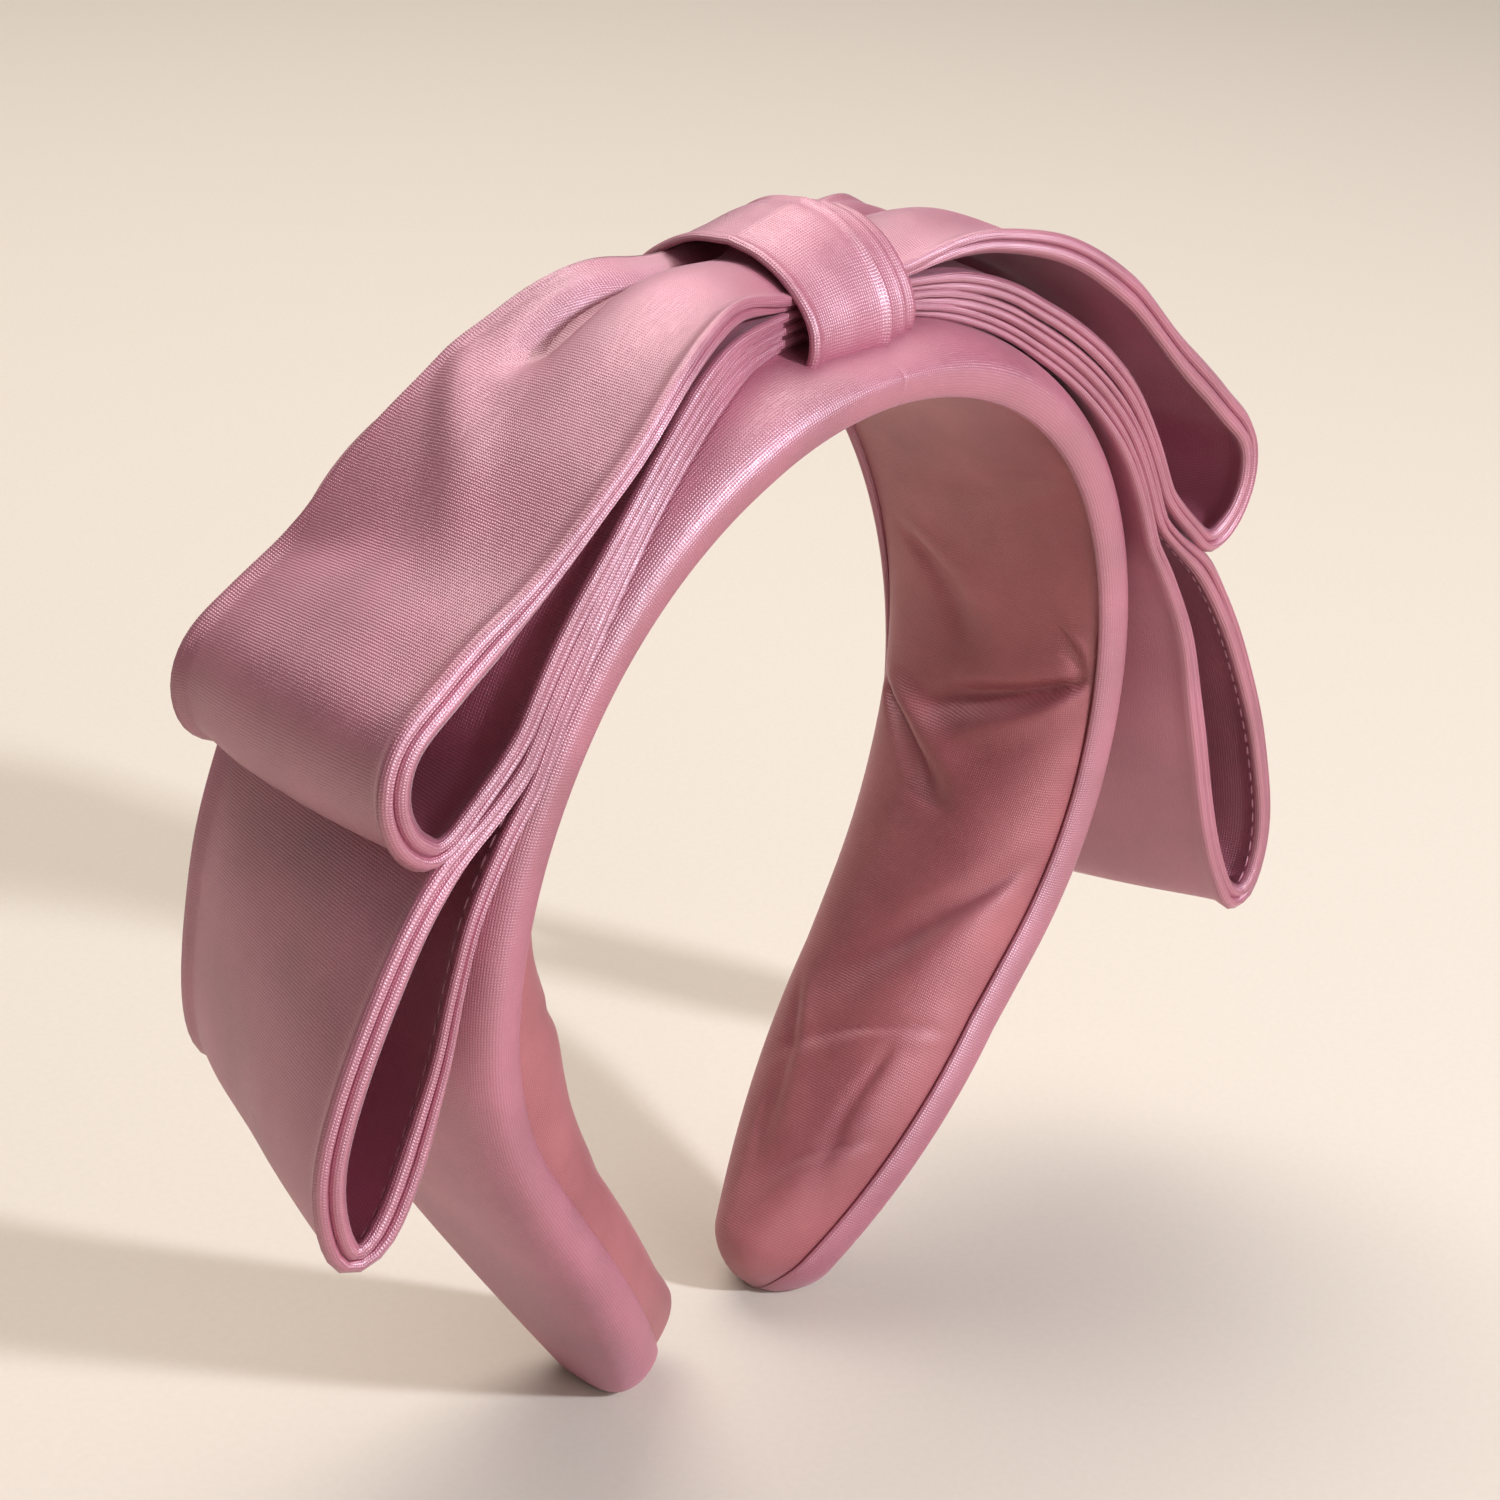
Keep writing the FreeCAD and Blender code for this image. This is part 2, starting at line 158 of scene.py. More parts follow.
def puff_depth(along):
    """How far the lining bulges from the head side of the band towards the head."""
    depths = []
    for distance in np.atleast_1d(along):
        point, out = on_band(distance)
        offset = LINING - point
        sideways = np.abs(offset[:, 0] * out[1] - offset[:, 1] * out[0])
        inward = -(offset @ out)
        near = np.where((inward > -1) & (inward < 20), sideways, 1e9)
        depths.append(max(inward[np.argmin(near)], 0))
    return np.array(depths)


TIP_ALONG = float(np.interp(-(FLOOR + TIP_CLEAR), -BAND[:, 1], BAND_ALONG))


def tip_shrink(along):
    """1 along the band, falling to 0 in a quarter circle at the tip."""
    into = np.clip((along - TIP_ALONG + TIP_ROUND) / TIP_ROUND, 0, 1)
    return np.sqrt(1 - into ** 2 * 0.999)


def cover_height(along, across):
    """Height of the cover's outside over the head side of the band, pinched in by the knot."""
    point, _ = on_band(along)
    half = half_width(point[..., 1])
    share = np.clip(np.abs(across) / half, 0, 1)
    pinched = KNOT_PINCH * bump(point[..., 0], 0, 13) * ramp(np.abs(across), 7, 17)
    return WIDEST_LEVEL + (THICKNESS - WIDEST_LEVEL) * np.sqrt(1 - share ** CROWNING) * (1 - pinched)


# ---- Meshes ----

def add_object(name, data):
    made = bpy.data.objects.new(name, data)
    bpy.context.scene.collection.objects.link(made)
    return made


def new_mesh(name, place, faces, smooth, material):
    """A mesh of points in metres with one material. smooth says which faces are shaded smooth."""
    mesh = bpy.data.meshes.new(name)
    mesh.from_pydata(place.tolist(), [], faces)
    mesh.polygons.foreach_set("use_smooth", smooth)
    mesh.materials.append(material)
    return mesh


def make_piece(name, points, material, sign=1, looped=False):
    """A mesh of a grid of points in millimetres, closed round its second direction.

    Its ends are capped, or joined to each other if it is looped. It gets a UV map with real lengths in
    metres. sign -1 mirrors it to the left.
    """
    rows, columns = points.shape[:2]
    place = points * MM * np.array([sign, 1, 1])
    wide = np.concatenate([place, place[:, :1]], axis=1)
    wide = np.concatenate([wide, wide[:1]], axis=0) if looped else wide
    along = np.concatenate([[0], np.cumsum(np.linalg.norm(np.diff(wide, axis=0), axis=2).mean(axis=1))])
    around = np.concatenate([[0], np.cumsum(np.linalg.norm(np.diff(wide, axis=1), axis=2).max(axis=0))])
    faces, maps = [], []
    for row in range(wide.shape[0] - 1):
        for column in range(columns):
            ring = [(row, column), (row, column + 1), (row + 1, column + 1), (row + 1, column)]
            ring = ring if sign > 0 else ring[::-1]
            faces.append([i % rows * columns + j % columns for i, j in ring])
            maps += [(along[i], around[j]) for i, j in ring]
    smooth = [True] * len(faces)
    if not looped:
        smooth += [False, False]
        for row, turn in ((0, -1), (rows - 1, 1)):
            ring = list(range(columns))[::turn * sign]
            faces.append([row * columns + column for column in ring])
            maps += [(along[row], around[column]) for column in ring]
    mesh = new_mesh(name, place.reshape(-1, 3), faces, smooth, material)
    layer = mesh.uv_layers.new(name="cloth")
    layer.data.foreach_set("uv", np.array(maps, float).ravel())
    piece = add_object(name, mesh)
    return piece


def noise_at(points, scale, seed):
    """Smooth noise from -1 to 1 at points in millimetres, with features of about scale."""
    shape = points.shape[:-1]
    flat = points.reshape(-1, 3) / scale + seed * 7.3
    return np.array([noise.noise(Vector(point)) for point in flat]).reshape(shape)


def grid_normals(points):
    """Unit normals of a grid of points."""
    along = np.gradient(points, axis=0)
    around = np.gradient(points, axis=1)
    normals = np.cross(along, around)
    return normals / np.maximum(np.linalg.norm(normals, axis=2, keepdims=True), 1e-9)


STITCH_PITCH, STITCH_LENGTH, STITCH_RADIUS = 2.6, 1.8, 0.17
STITCH_SIDES = 6
STITCH_PROFILE = ((0, 0.35), (0.25, 1), (0.75, 1), (1, 0.35))    # shares of its length and of its radius


def stitch_row(name, line, out, sign):
    """A row of running stitches along a line of points, each a thread lying on the cloth."""
    along = lengths(line)
    starts = np.arange(STITCH_PITCH, along[-1] - STITCH_PITCH, STITCH_PITCH)
    corners, faces = [], []
    for start in starts:
        centres = []
        for share, _ in STITCH_PROFILE:
            at = start + share * STITCH_LENGTH
            centres.append([np.interp(at, along, column) for column in line.T])
        centres = np.array(centres)
        up = np.array([np.interp(start, along, column) for column in out.T])
        forward = centres[-1] - centres[0]
        side = np.cross(forward, up)
        side /= np.linalg.norm(side)
        first = len(corners)
        for centre, (_, size) in zip(centres, STITCH_PROFILE):
            radius = STITCH_RADIUS * size
            for turn in np.linspace(0, 2 * math.pi, STITCH_SIDES, endpoint=False):
                corners.append(centre + radius * (side * math.cos(turn) + up * math.sin(turn)))
        last = len(corners) - STITCH_SIDES
        for low in range(first, last, STITCH_SIDES):
            high = low + STITCH_SIDES
            for corner in range(STITCH_SIDES):
                after = (corner + 1) % STITCH_SIDES
                faces.append([low + corner, low + after, high + after, high + corner])
        faces.append([first + corner for corner in reversed(range(STITCH_SIDES))])
        faces.append([last + corner for corner in range(STITCH_SIDES)])
    place = np.array(corners) * MM * [sign, 1, 1]
    piece = add_object(name, new_mesh(name, place, faces, [True] * len(faces), THREAD))
    return piece


# ---- Materials ----

def new_material(name):
    material = bpy.data.materials.new(name)
    material.use_nodes = True
    tree = material.node_tree
    shader = tree.nodes["Principled BSDF"]
    return material, tree, shader


def node(tree, kind, **settings):
    made = tree.nodes.new(kind)
    for key, setting in settings.items():
        if hasattr(made, key):
            setattr(made, key, setting)
        else:
            made.inputs[key].default_value = setting
    return made


def scaled(tree, source, scale):
    mapping = node(tree, "ShaderNodeMapping", Scale=scale)
    tree.links.new(source, mapping.inputs["Vector"])
    return mapping.outputs["Vector"]


def colour_ramp(tree, low, high, low_at, high_at):
    colours = node(tree, "ShaderNodeValToRGB")
    for element, colour, position in zip(colours.color_ramp.elements, (low, high), (low_at, high_at)):
        element.position = position
        element.color = (*colour, 1)
    return colours


WAVE_PER_UNIT = math.pi / 10    # the Scale at which a wave texture repeats once a unit
CRUMPLE_DEPTH = 0.00010
SATIN_SHADER = {
    "Metallic": 0.20,
    "IOR": 2.1,
    "Specular Tint": (1.0, 0.93, 0.96, 1),
    "Sheen Weight": 0.28,
    "Sheen Roughness": 0.35,
    "Sheen Tint": (1.0, 0.78, 0.86, 1),
}


def satin(name, dark, light, weave_pitch, weave_depth, roughness, shine):
    """A satin weave: a fine grid of floats, slubs along the threads and a soft sheen."""
    material, tree, shader = new_material(name)
    link = tree.links.new
    coordinates = node(tree, "ShaderNodeTexCoord")
    cloth = coordinates.outputs["UV"]
    body = coordinates.outputs["Object"]
    grid = scaled(tree, cloth, (1 / weave_pitch, 1 / weave_pitch, 1))
    floats = node(tree, "ShaderNodeMath", operation="MULTIPLY")
    for socket, direction in enumerate("XY"):
        ribs = node(tree, "ShaderNodeTexWave", bands_direction=direction, Scale=WAVE_PER_UNIT,
                    Distortion=1.6)
        link(grid, ribs.inputs["Vector"])
        link(ribs.outputs["Fac"], floats.inputs[socket])
    threads = node(tree, "ShaderNodeTexNoise", Scale=1.0, Detail=2.0, Roughness=0.6)
    link(scaled(tree, cloth, (0.2 / weave_pitch, 1.1 / weave_pitch, 1)), threads.inputs["Vector"])
    soft = node(tree, "ShaderNodeTexNoise", Scale=140.0, Detail=3.0, Roughness=0.55)
    link(body, soft.inputs["Vector"])
    height = node(tree, "ShaderNodeMath", operation="MULTIPLY")
    link(floats.outputs[0], height.inputs[0])
    link(threads.outputs["Fac"], height.inputs[1])
    weave = node(tree, "ShaderNodeBump", Strength=1.0, Distance=weave_depth)
    link(height.outputs[0], weave.inputs["Height"])
    crumple = node(tree, "ShaderNodeBump", Strength=1.0, Distance=CRUMPLE_DEPTH)
    link(soft.outputs["Fac"], crumple.inputs["Height"])
    link(crumple.outputs["Normal"], weave.inputs["Normal"])
    link(weave.outputs["Normal"], shader.inputs["Normal"])
    colours = colour_ramp(tree, dark, light, 0.05, 0.95)
    mixed = node(tree, "ShaderNodeMath", operation="MULTIPLY_ADD")
    mixed.inputs[1].default_value = 0.7
    link(height.outputs[0], mixed.inputs[0])
    worn = node(tree, "ShaderNodeTexNoise", Scale=60.0, Detail=4.0)
    link(body, worn.inputs["Vector"])
    link(worn.outputs["Fac"], mixed.inputs[2])
    shift = node(tree, "ShaderNodeMath", operation="SUBTRACT")
    shift.inputs[1].default_value = 0.22
    link(mixed.outputs[0], shift.inputs[0])
    link(shift.outputs[0], colours.inputs["Fac"])
    link(colours.outputs["Color"], shader.inputs["Base Color"])
    rough = node(tree, "ShaderNodeMapRange")
    rough.inputs["To Min"].default_value = roughness - 0.05
    rough.inputs["To Max"].default_value = roughness + 0.09
    link(threads.outputs["Fac"], rough.inputs["Value"])
    link(rough.outputs["Result"], shader.inputs["Roughness"])
    shader.inputs["Specular IOR Level"].default_value = shine
    for key, setting in SATIN_SHADER.items():
        shader.inputs[key].default_value = setting
    return material


def plain(name, low, high, scale, roughness, depth):
    """A material with fine noise in its colour and its surface."""
    material, tree, shader = new_material(name)
    link = tree.links.new
    coordinates = node(tree, "ShaderNodeTexCoord")
    grain = node(tree, "ShaderNodeTexNoise", Scale=scale, Detail=5.0)
    link(coordinates.outputs["Object"], grain.inputs["Vector"])
    colours = colour_ramp(tree, low, high, 0.35, 0.65)
    link(grain.outputs["Fac"], colours.inputs["Fac"])
    link(colours.outputs["Color"], shader.inputs["Base Color"])
    surface = node(tree, "ShaderNodeBump", Strength=0.6, Distance=depth)
    link(grain.outputs["Fac"], surface.inputs["Height"])
    link(surface.outputs["Normal"], shader.inputs["Normal"])
    shader.inputs["Roughness"].default_value = roughness
    return material


WEAVE_PITCH = 0.0004
SATIN = satin("dusty_rose_satin", (0.27, 0.039, 0.076), (0.57, 0.132, 0.212),
              weave_pitch=WEAVE_PITCH, weave_depth=0.00011, roughness=0.44, shine=1.0)
LINING_SATIN = satin("rose_lining_satin", (0.26, 0.052, 0.062), (0.54, 0.160, 0.174),
                     weave_pitch=WEAVE_PITCH, weave_depth=0.00009, roughness=0.44, shine=0.4)
THREAD = plain("rose_thread", (0.36, 0.14, 0.19), (0.50, 0.22, 0.28), 2500, 0.6, 0.00005)
PLASTIC = plain("core_plastic", (0.66, 0.65, 0.60), (0.72, 0.71, 0.67), 400, 0.5, 0.00002)
PAPER = plain("studio_floor", (0.625, 0.548, 0.463), (0.64, 0.562, 0.477), 900, 0.85, 0.00002)


# ---- The padded band ----

BAND_STEPS = 230
COVER_STEPS = 84
LINING_STEPS = 60
TUCK_STEPS = 12
TUCK_TURN = math.pi * 0.62    # how far the cover turns in at its edges
CORE_LEVEL = WIDEST_LEVEL - 1.0    # the height that the band's end closes on
LINING_BACK_STEPS = 12
LINING_ROUND = 2.6    # the exponent of the lining's section, as CROWNING is of the cover's


def band_points(along, across, height):
    """Points of the band from distances along it, across it and out from its head side."""
    point, out = on_band(along)
    reach = point[..., 0] + out[..., 0] * height
    level = point[..., 1] + out[..., 1] * height
    return np.stack([reach, across, FLOOR + np.maximum(level - FLOOR, 0)], axis=-1)


def cover_points():
    """The padded outside of the band: from the front seam round the outside to the back seam."""
    along = np.linspace(0, TIP_ALONG, BAND_STEPS)[:, None]
    shrink = tip_shrink(along)
    point, _ = on_band(along)
    half = half_width(point[..., 1])
    round_side = np.cos(np.linspace(0, math.pi, COVER_STEPS - 2 * TUCK_STEPS))
    top_across = -power(round_side, 2 / CROWNING)[None, :] * half
    top_height = cover_height(along + 0 * top_across, top_across)
    tuck = ((1 - np.linspace(0, 1, TUCK_STEPS)) * TUCK_TURN)[None, :]
    tuck_across = half - SEAM_IN * (1 - np.cos(tuck)) * 0.9
    tuck_height = WIDEST_LEVEL * (1 - np.sin(np.minimum(tuck, math.pi / 2))) + 0 * along
    tuck_height = tuck_height + SEAM_DEPTH * ramp(tuck, math.pi / 2, TUCK_TURN)
    across = np.concatenate([-tuck_across[:, :-1], top_across, tuck_across[:, ::-1][:, 1:]], axis=1)
    height = np.concatenate([tuck_height[:, :-1], top_height, tuck_height[:, ::-1][:, 1:]], axis=1)
    return band_points(along + 0 * across, across * shrink, CORE_LEVEL + (height - CORE_LEVEL) * shrink)


# Creases of the lining: from and to, as distances along the band and across it, then depth and width.
CREASES = {
    "right": [
        ((86, -17), (98, 6), 2.4, 2.4),
        ((98, 15.5), (111, -3), 2.6, 2.6),
        ((116, -16), (146, 4), 1.6, 3.4),
        ((78, -14), (89, -18), 0.8, 1.6),
        ((144, -14), (158, 9), 0.7, 1.6),
        ((150, -9), (173, -8), 0.6, 1.8),
        ((148, 9), (175, 1), 0.7, 2.0),
        ((72, 14), (86, 0), 1.0, 3.0),
        ((163, -11), (178, 2), 0.8, 2.2),
        ((52, -18), (60, 10), 0.6, 2.4),
    ],
    "left": [
        ((84, 13), (98, -6), 0.5, 3.4),
        ((104, -14), (120, 2), 0.45, 3.6),
        ((128, 11), (150, -4), 0.35, 3.4),
        ((140, -13), (160, 0), 0.3, 3.2),
        ((166, -9), (182, -1), 0.25, 2.6),
    ],
}


def crease_depth(side, along, across):
    """How far the creases of one side's lining are sunk in, with the soft ridges beside them."""
    depth = 0 * (along + across)
    for start, end, deep, wide in CREASES[side]:
        start, end = np.array(start, float), np.array(end, float)
        line = end - start
        length = np.linalg.norm(line)
        share = ((along - start[0]) * line[0] + (across - start[1]) * line[1]) / length ** 2
        off = ((along - start[0]) * line[1] - (across - start[1]) * line[0]) / length
        off = off + 0.9 * np.sin(share * 4.0 + start[0])
        fade = ramp(share, -0.15, 0.2) * (1 - ramp(share, 0.55, 1.15))
        wide = wide * (0.6 + 0.9 * np.clip(share, 0, 1))
        depth = depth + deep * fade * (bump(off, 0, wide * 0.6) - 0.55 * bump(off, 1.5 * wide, wide))
    return depth


# How much further each side's lining puffs out where the arm bends in.
PUFF = {"right": 4.6, "left": 9.0}


def lining_points(side):
    """The lining: from seam to seam, flat on the crown and puffed out towards the head on the arms."""
    along = np.linspace(0, TIP_ALONG, BAND_STEPS)[:, None]
    shrink = tip_shrink(along)
    point, _ = on_band(along)
    half = half_width(point[..., 1]) - SEAM_IN
    depth = puff_depth(along[:, 0])[:, None] + 0.4
    depth = depth + PUFF[side] * bump(along, 108, 24) + 1.6 * ramp(along, 95, 150)
    turn = np.linspace(0, math.pi, LINING_STEPS)[None, :]
    across = -power(np.cos(turn), 2 / LINING_ROUND) * half
    height = SEAM_DEPTH - (depth + SEAM_DEPTH) * np.sin(turn) ** 0.9
    height = height + crease_depth(side, along, across) * ramp(np.sin(turn), 0.1, 0.6) * ramp(along, 40, 60)
    back = np.linspace(0.94, -0.94, LINING_BACK_STEPS)[None, :] * half
    across = np.concatenate([across, back], axis=1)
    height = np.concatenate([height, SEAM_DEPTH + 0.6 + 0 * back], axis=1)
    return band_points(along + 0 * across, across * shrink, CORE_LEVEL + (height - CORE_LEVEL) * shrink)


def tucked_under(points):
    """Adds a first row that reaches past the middle of the crown, just under the other side's cloth."""
    past = points[2] * [-1, 1, 1]
    middle = past.mean(axis=0)
    return np.concatenate([[middle + (past - middle) * 0.96], points])


def make_band():
    for side, sign in SIDES.items():
        arm = f"{side}_arm"
        cover = make_piece(f"{side}_padded_cover", tucked_under(cover_points()), SATIN, sign)
        points = tucked_under(lining_points(side)[:, ::-1])
        lining = make_piece(f"{side}_padded_lining", points, LINING_SATIN, sign)
        for piece in (cover, lining):
            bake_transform(piece)
        shared = {"right": ["crown_foam_pad", "crown_cover"], "left": []}[side]
        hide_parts(f"{arm}_cover", f"{arm}_foam_pad", *shared)
        shared = {"left": ["crown_inner_pad", "crown_lining", "crown_seam_thread"], "right": []}[side]
        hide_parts(f"{arm}_lining", f"{arm}_inner_pad", f"{arm}_seam_thread", *shared)


# ---- The bow ----

RIBBON_HALF = 24.5
WAIST_FRONT, WAIST_BACK = 14.8, 4.8
# How far out a ribbon has its full width: at its front edge, and at the back edge of each tier.
FULL_WIDTH_REACH = {"front": 50, "upper": 80, "lower": 50}
LOOP_STEPS = 150
LOOP_ACROSS = 48
PLY_INSIDE, PLY_OUTSIDE = 0.05, 1.05    # heights of a layer's two faces from the ribbon's middle
EDGE_SHARE = 0.14    # the share of half a ribbon's width that its rolled edge takes
STITCH_COLUMN = 2
STITCH_HEIGHT = 1.9
STITCH_ROWS = slice(8, -8)

# The middle of each folded ribbon in X and Z over the head side of the crown, from the knot along the
# outside to the fold and back along the inside: at its front edge and at its back edge.
LOOPS = {
    "upper": {
        "front": [(2, 15.4), (21, 15.4), (35, 11.8), (48, 2.6), (62, -8.6), (74, -16.4), (81.5, -22.0),
                  (83.4, -28.5), (81, -34.5), (76.0, -37.0), (70.5, -33.4), (61.5, -25.4), (48.5, -11.4),
                  (35, -0.2), (21, 9.8), (2, 13.0)],
        "back": [(2, 12.6), (20, 10.8), (30, 6.6), (39, 1.3), (47, -5.2), (55, -13.8), (66, -22.0),
                 (72, -27.0), (74, -32.0), (72.5, -37.0), (68, -39.0), (64, -35.5), (60, -29.5),
                 (56, -22.5), (48, -10.2), (39, -3.0), (30, 3.0), (20, 8.0), (2, 11.0)],
        "bead": 0.6,
    },
    "lower": {
        "front": [(2, 11.6), (20, 8.0), (33, -3.6), (43, -12.6), (52.5, -21.4), (60.5, -28.8), (68, -35.3),
                  (75.5, -41.0), (82, -48.5), (88, -60.0), (91.6, -71.0), (91.8, -79.0), (89, -85.5),
                  (84.5, -85.0), (79.5, -77.5), (75.5, -67.0), (72.5, -55.0), (69.5, -45.5), (63.5, -36.8),
                  (54, -27.4), (43, -17.0), (32.5, -7.0), (20, 4.6), (2, 9.6)],
        "back": [(2, 10.0), (20, 5.4), (33, -1.6), (44, -10.4), (54, -21.5), (61, -32.0), (66, -42.0),
                 (69.5, -53.0), (71.5, -64.0), (72, -74.0), (70.5, -81.5), (67.5, -85.0), (64.8, -81.5),
                 (63.2, -72.0), (62.4, -60.0), (61.4, -48.0), (58.5, -37.0), (53, -26.5), (44, -13.5),
                 (33, -4.2), (20, 2.6), (2, 8.0)],
        "bead": 0.5,
    },
}
# Heights over the band's cover of the strands stacked on the crown: the outside and the inside strand.
STACK = {"upper": (8.6, 6.2), "lower": (3.8, 1.4)}
PLEAT_DEPTH = 8.0
WAVE_SEED = {"upper": 3, "lower": 5}
# How far a side's upper loop is lifted, and how far out and up its lower loop hangs at its lowest.
SIDE_LIFT = {"right": 4.0, "left": 0.0}
SIDE_HANG = {"right": (9.0, -15.0), "left": (0.0, 0.0)}
LEVEL_SHARE = 0.8    # the share of the band's width that the cloth lies on


def clear_of_band(points, gap):
    """Moves rows of points out of the band's cover, so that each row lies at least its gap over it.

    The cloth doesn't follow the cover down at its edges. Also returns how far each row is clear of its gap.
    """
    flat = points.reshape(-1, 3)
    place = flat[:, [0, 2]]
    nearest = np.argmin(((place[:, None, :] - BAND[None, ::4, :]) ** 2).sum(axis=2), axis=1) * 4
    out = BAND_OUT[nearest]
    height = ((place - BAND[nearest]) * out).sum(axis=1)
    along = BAND_ALONG[nearest]
    level_part = LEVEL_SHARE * half_width(BAND[nearest][:, 1])
    across = np.clip(flat[:, 1], -level_part, level_part)
    needed = cover_height(along, across) + np.repeat(gap, points.shape[1])
    lift = np.log1p(np.exp((needed - height) * 2.0)) / 2.0
    lift = np.where(needed - height > -3, lift, 0)
    flat = flat.copy()
    flat[:, 0] += out[:, 0] * lift
    flat[:, 2] += out[:, 1] * lift
    clear = (height + lift - needed).reshape(points.shape[:2]).mean(axis=1)
    return flat.reshape(points.shape), clear


def upper_gathers(reach, across):
    """How far the outside of an upper loop stands out where the knot gathers it."""
    back_puff = 4.4 * bump(reach, 27, 14) * bump(across, 9, 7)
    front_puff = 2.4 * bump(reach, 24, 15) * bump(across, -6, 6)
    ridge = 1.9 * bump(across - 17 + 0.95 * (reach - 33), 0, 5) * bump(reach, 42, 13)
    heap = 3.0 * (1 - ramp(reach, 4, 10)) * bump(across, -4, 6)
    return back_puff + front_puff + ridge + heap


def upper_pleat(reach, across):
    """How deep the pleat between the two puffs of an upper loop is."""
    middle, width = 1.0 + 0.03 * reach, 1.0 + 0.04 * reach
    return PLEAT_DEPTH * bump(across, middle, width) * ramp(reach, 3, 8) * (1 - ramp(reach, 26, 42))


def loop_middle(side, tier):
    """The middle surface of a folded ribbon: a grid along the ribbon and across it, front to back.

    Also returns its normals, and the swell that cloth_layer() takes.
    """
    front = smooth_curve(LOOPS[tier]["front"], LOOP_STEPS)
    back = smooth_curve(LOOPS[tier]["back"], LOOP_STEPS)
    share = np.linspace(-1, 1, LOOP_ACROSS)[None, :]
    mix = (share + 1)[..., None] / 2
    place = front[:, None, :] * (1 - mix) + back[:, None, :] * mix
    reach = place[..., 0]
    outside = 1 - ramp(np.arange(LOOP_STEPS), 0.44 * LOOP_STEPS, 0.56 * LOOP_STEPS)[:, None]
    waist = np.where(share < 0, WAIST_FRONT, WAIST_BACK)
    spread = np.where(share < 0, FULL_WIDTH_REACH["front"], FULL_WIDTH_REACH[tier])
    half = waist + (RIBBON_HALF - waist) * ramp(reach, 8, spread)
    rounded = 3.4 * share ** 4 * (1 - ramp(reach, 9, 26))
    points = np.stack([reach, share * half, place[..., 1] + RISE - rounded], axis=2)
    if tier == "upper":
        points[..., 2] += SIDE_LIFT[side] * bump(reach, 52, 20) * outside
    else:
        out, up = SIDE_HANG[side]
        hang = ramp(RISE - points[..., 2], 30, 85)
        points[..., 0] += out * hang
        points[..., 2] += up * hang
    normals = grid_normals(points)
    across = points[..., 1]
    belly = 1.0 * (1 - share ** 2) * ramp(reach, 20, 50)
    waves = 0.5 * noise_at(points, 17, WAVE_SEED[tier]) * ramp(reach, 30, 60)
    push = belly + waves
    if tier == "upper":
        push = push + upper_gathers(reach, across) * outside
    points = points + normals * push[..., None]
    high, low = STACK[tier]
    squeezed = 0.66 + 0.34 * ramp(reach[:, 0], 10, 30)
    gaps = (low + (high - low) * outside[:, 0]) * squeezed
    points, clear = clear_of_band(points, gaps)
    if tier == "upper":
        points = points - normals * (upper_pleat(reach, across) * outside)[..., None]
    swell = 0.6 + 0.4 * ramp(clear, 0.3, 5.0)
    return points, normals, swell


def cloth_layer(middle, normals, swell, low, high, bead):
    """A closed layer of cloth between two heights over the middle surface, with rolled edges.

    swell is how thick each row is, from 0 to 1: the rows pressed on the band are thin.
    """
    centre = (low + high) / 2
    half = (high - low) / 2
    columns = middle.shape[1]
    position = np.linspace(-1, 1, columns)
    edge = np.minimum(1 - np.abs(position), EDGE_SHARE) / EDGE_SHARE
    thick = half * (1 - 0.25 * ramp(edge, 0.3, 1.0)) + bead * bump(edge, 0.35, 0.28)
    thick = thick * np.sqrt(np.clip(1 - (1 - np.clip(edge / 0.35, 0, 1)) ** 2, 0, 1))
    lift = np.sign(centre) * bead * 0.8 * bump(edge, 0.35, 0.4)
    top = middle + normals * (centre + lift + thick)[None, :, None] * swell[:, None, None]
    bottom = middle + normals * (centre + lift - thick)[None, :, None] * swell[:, None, None]
    return np.concatenate([top, bottom[:, ::-1][:, 1:-1]], axis=1)


def bend_with_arm(piece):
    """Bakes the transform of a piece of a loop into its mesh."""
    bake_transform(piece)


def make_topstitch(side, middle, normals, swell):
    """The stitching along both edges of a lower loop, on its facing."""
    for edge, column in (("front", STITCH_COLUMN), ("back", LOOP_ACROSS - 1 - STITCH_COLUMN)):
        out = -normals[STITCH_ROWS, column]
        line = middle[STITCH_ROWS, column] + out * STITCH_HEIGHT * swell[STITCH_ROWS, None]
        piece = stitch_row(f"{side}_lower_loop_{edge}_stitches", line, out, SIDES[side])
        bend_with_arm(piece)


def make_loops():
    for side, sign in SIDES.items():
        for tier, loop in LOOPS.items():
            middle, normals, swell = loop_middle(side, tier)
            if tier == "lower":
                make_topstitch(side, middle, normals, swell)
            for cloth, low, high, bead in (("outside", PLY_INSIDE, PLY_OUTSIDE, loop["bead"]),
                                           ("facing", -PLY_OUTSIDE, -PLY_INSIDE, loop["bead"] * 1.3)):
                points = cloth_layer(middle, normals, swell, low, high, bead)
                name = f"{side}_{tier}_loop_{cloth}"
                piece = make_piece(name + "_cloth", points, SATIN, sign)
                bend_with_arm(piece)
                long_way = lengths(smooth_curve(loop["front"], LOOP_STEPS))[-1]
                if cloth == "outside":
                    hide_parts(f"{side}_{tier}_loop_satin")
                else:
                    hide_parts(f"{side}_{tier}_loop_facing", f"{side}_{tier}_loop_interlining")


# ---- The knot wrap ----

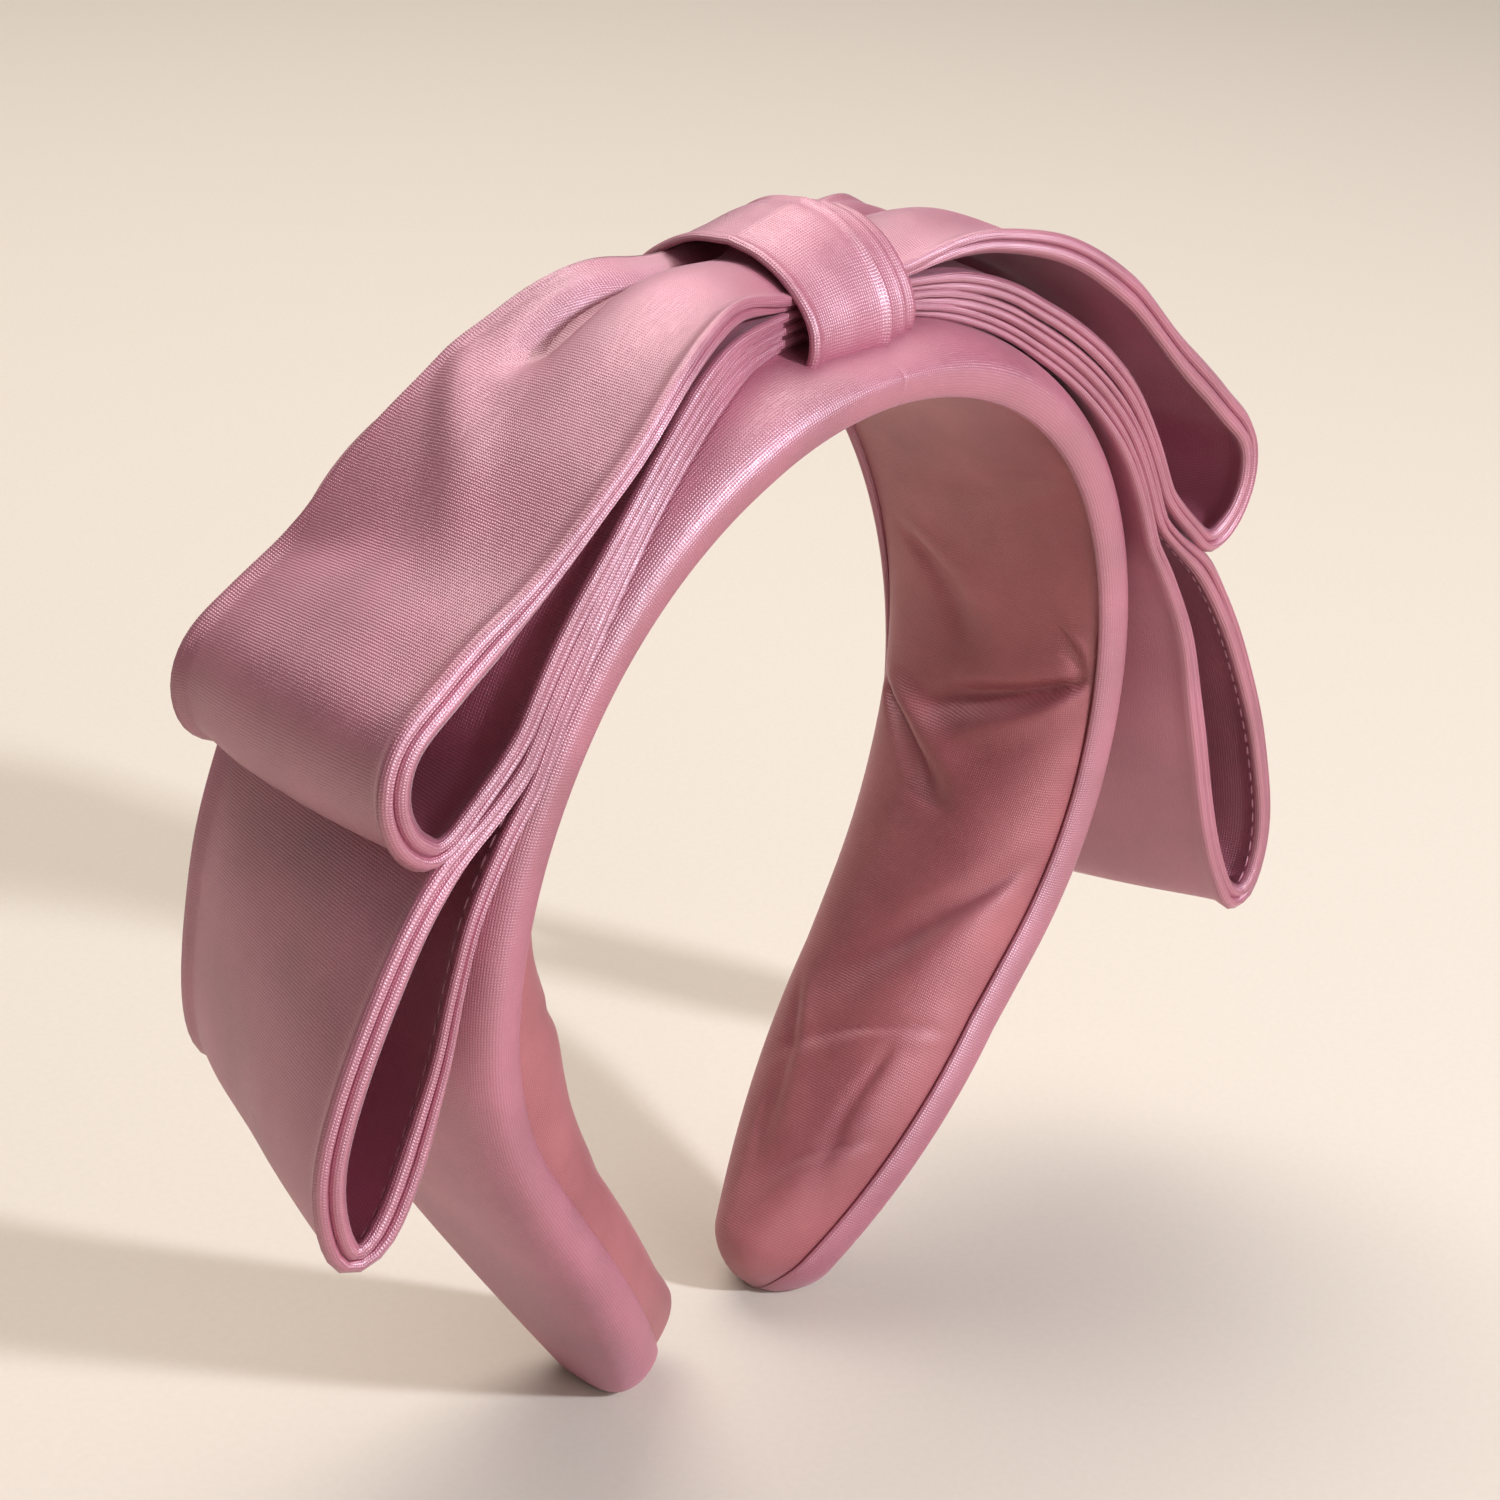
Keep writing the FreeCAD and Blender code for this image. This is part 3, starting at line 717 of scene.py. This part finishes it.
# The line of the wrap round the gathered bow, in Y and Z over the head side of the crown. It leans
# forwards, and it sinks into the padding under its front and back.
WRAP_RING = [(-4, 20.2), (2, 18.9), (7, 15.6), (10.8, 11.4), (12.6, 7.6), (11, 5.8), (6, 7.8),
             (0, 9.2), (-8, 8.0), (-14.0, 5.0), (-17.2, 5.6), (-18.0, 8.8), (-16.6, 12.8),
             (-12.8, 17.0), (-8.4, 19.4), (-4, 20.2)]
WRAP_BASE = 9.6
WRAP_STEPS = 140
WRAP_ACROSS = 56
WRAP_HALF_THICKNESS = 0.45
# The layers of the wrap, from the outside in: where each lies across the head, how high it is over the
# line, and how much its edges are rolled.
WRAP_LAYERS = {
    "main": {"from": -11.0, "to": 4.4, "lift": 0.5, "roll": 0.22},
    "fold": {"from": -2.4, "to": 8.2, "lift": -0.25, "roll": 0.06},
    "under": {"from": 0.4, "to": 10.8, "lift": -0.95, "roll": 0.06},
}


def wrap_ring():
    return smooth_curve(WRAP_RING, WRAP_STEPS + 1)[:-1]


def wrap_points(layer):
    """A layer of the wrap: a grid round the bow and round the layer's own thickness."""
    ring = wrap_ring()
    tangent = np.roll(ring, -1, axis=0) - np.roll(ring, 1, axis=0)
    tangent /= np.linalg.norm(tangent, axis=1, keepdims=True)
    out = np.stack([-tangent[:, 1], tangent[:, 0]], axis=1)
    width = layer["to"] - layer["from"]
    share = np.linspace(0, 1, WRAP_ACROSS)
    across = layer["from"] + width * share
    from_edge = np.minimum(share, 1 - share) * width
    round_edge = np.clip(from_edge / 0.8, 0, 1)
    rolled = layer["roll"] * bump(from_edge, 0.9, 0.6)
    thick = WRAP_HALF_THICKNESS * np.sqrt(np.clip(1 - (1 - round_edge) ** 2, 0, 1)) + rolled
    lift = layer["lift"] + layer["roll"] * bump(from_edge, 0.9, 0.8)
    around = np.linspace(0, 2 * math.pi, len(ring), endpoint=False)[:, None]
    wander = 2.2 * np.sin(around + 0.4)
    creases = 0.06 * np.sin(across[None, :] * 0.9 + wander) * bump(across[None, :], -2, 7)
    lift = lift[None, :] + creases
    faces = []
    for side in (1, -1):
        height = lift + side * thick[None, :]
        place = ring[:, None, :] + out[:, None, :] * height[..., None]
        over = np.maximum(place[..., 1] - WRAP_BASE, 0)
        level = place[..., 1] - 0.24 * over * (1 - ramp(across, -13, 2))
        faces.append(np.stack([across + 0 * level, place[..., 0], level + RISE], axis=2))
    return np.concatenate([faces[0], faces[1][:, ::-1][:, 1:-1]], axis=1)


def make_knot():
    ring_length = lengths(np.vstack([wrap_ring(), wrap_ring()[:1]]))[-1]
    for name, layer in WRAP_LAYERS.items():
        piece = make_piece(f"knot_wrap_{name}", wrap_points(layer), SATIN, looped=True)
        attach(piece, "crown")
    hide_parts("knot_wrap", "upper_bow_waist", "lower_bow_waist", "waist_binding")


# ---- Stage, light and camera ----

def paint_frame():
    paints = {"core_plastic": PLASTIC, "sewing_thread": THREAD}
    for item in frame["record"]["subparts"]:
        shown = frame["nodes"][item["node"]]
        if not shown.hide_render and item["material_slot"] in paints:
            shown.data.materials.clear()
            shown.data.materials.append(paints[item["material_slot"]])


def make_stage():
    bpy.ops.mesh.primitive_plane_add(size=6, location=(0, 0, (FLOOR - 0.02) * MM))
    floor = bpy.context.object
    floor.name = "floor"
    floor.data.materials.append(PAPER)
    world = bpy.data.worlds.new("studio")
    world.use_nodes = True
    world.node_tree.nodes["Background"].inputs["Color"].default_value = (1.0, 0.96, 0.92, 1)
    world.node_tree.nodes["Background"].inputs["Strength"].default_value = 0.21
    bpy.context.scene.world = world


CAMERA = {"azimuth": -49.6, "elevation": 24.8, "roll": 3.9, "lens": 83.9, "distance": 471.2,
          "target": (2.85, -1.615, -0.575)}


def camera_axes():
    azimuth, elevation = math.radians(CAMERA["azimuth"]), math.radians(CAMERA["elevation"])
    back = Vector((math.sin(azimuth) * math.cos(elevation), -math.cos(azimuth) * math.cos(elevation),
                   math.sin(elevation)))
    right = Vector((math.cos(azimuth), math.sin(azimuth), 0))
    return right, back.cross(right), back


def make_camera():
    right, up, back = camera_axes()
    data = bpy.data.cameras.new("camera")
    data.lens = CAMERA["lens"]
    data.sensor_width = 36
    data.clip_start = 0.01
    camera = add_object("camera", data)
    roll = Matrix.Rotation(-math.radians(CAMERA["roll"]), 4, "Z")
    turned = Matrix((right, up, back)).transposed().to_4x4() @ roll.inverted()
    place = (Vector(CAMERA["target"]) + back * CAMERA["distance"]) * MM
    camera.matrix_world = Matrix.Translation(place) @ turned
    bpy.context.scene.camera = camera


def add_light(name, direction, distance, size, watts, colour):
    data = bpy.data.lights.new(name, "AREA")
    data.size = size
    data.energy = watts
    data.color = colour
    light = add_object(name, data)
    toward = direction.normalized()
    light.location = toward * distance
    light.rotation_mode = "QUATERNION"
    light.rotation_quaternion = toward.to_track_quat("Z", "Y")


def make_lights():
    add_light("overhead_softbox", Vector((0.19, 0.38, 0.92)), 1.1, 1.0, 13.5, (1.0, 0.96, 0.92))
    add_light("key", Vector((0.17, -0.82, 0.55)), 1.6, 0.12, 24.0, (0.82, 0.89, 1.0))
    add_light("front_fill", Vector((-0.05, -0.97, 0.22)), 1.5, 1.2, 11.5, (0.95, 0.96, 1.0))


make_band()
make_loops()
make_knot()
paint_frame()
make_stage()
make_camera()
make_lights()
bpy.context.scene.view_settings.view_transform = "Standard"
